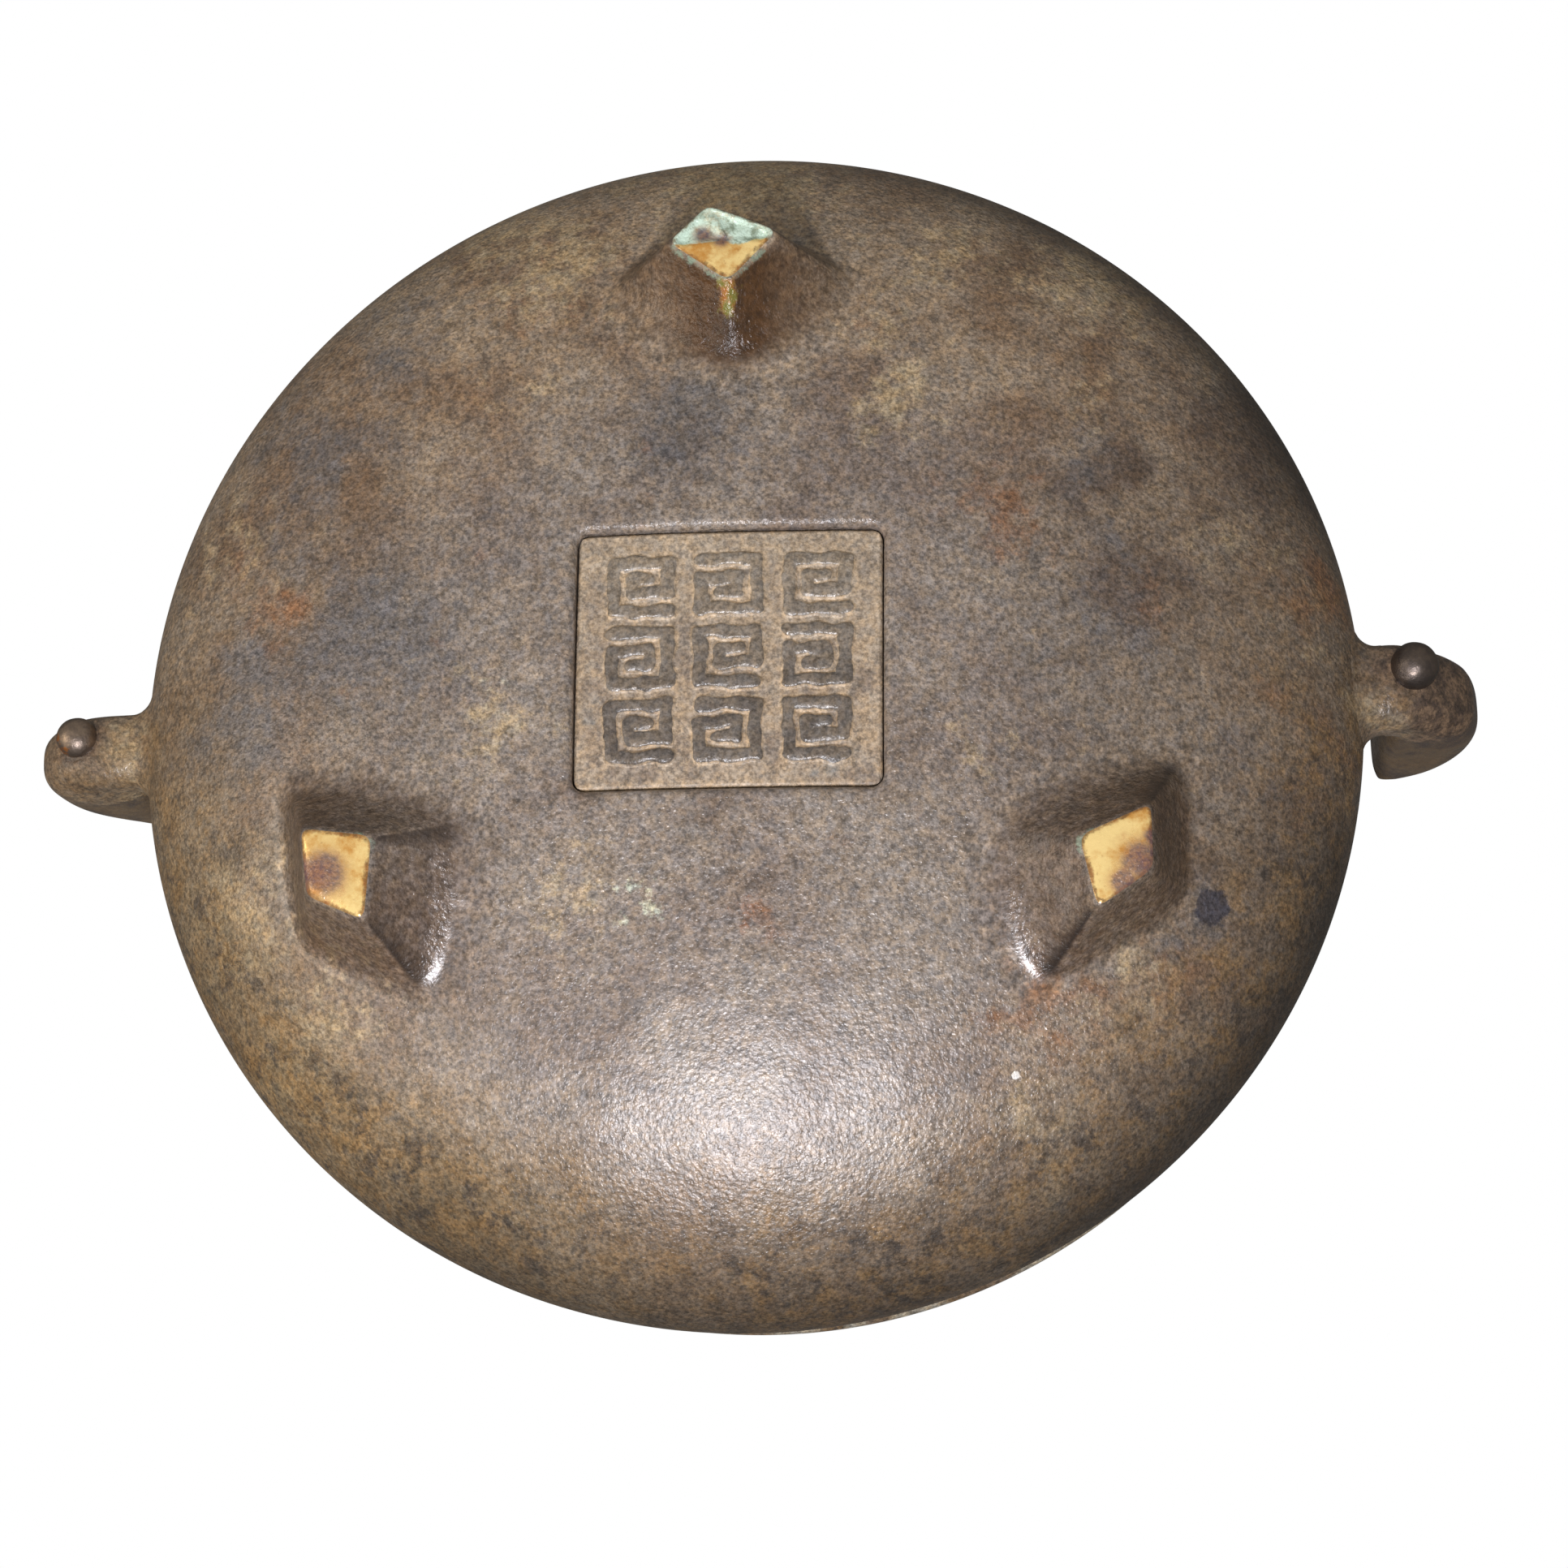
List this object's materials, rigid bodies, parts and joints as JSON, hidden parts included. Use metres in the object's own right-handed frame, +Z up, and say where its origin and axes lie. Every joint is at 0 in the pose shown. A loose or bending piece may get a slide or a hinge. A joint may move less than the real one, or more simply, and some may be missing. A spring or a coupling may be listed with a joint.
{
  "type": "incense burner",
  "caption": "Low round-bellied bronze censer on short square-cut feet, with solid lobed side handles, an everted lip and a fretted panel let into its underside.",
  "frame": {"origin": "middle of the bounding box's bottom, on the bowl's axis, at the plane that the feet stand on", "axes": "+Z up along the bowl's axis, +X to the right-hand handle, +Y to the back foot"},
  "size_m": [0.18, 0.15, 0.057],
  "materials": {
    "bronze": "satin brown patina",
    "panel_bronze": "matt tan patina",
    "dark_bronze": "worn dark patina"
  },
  "bodies": {
    "root": {"bowl": "bronze", "base_panel": "panel_bronze", "foot_back": "bronze", "foot_left": "bronze", "foot_right": "bronze", "handle_left": "bronze", "handle_right": "bronze", "bead_left": "dark_bronze", "bead_right": "dark_bronze"}
  },
  "joints": []
}
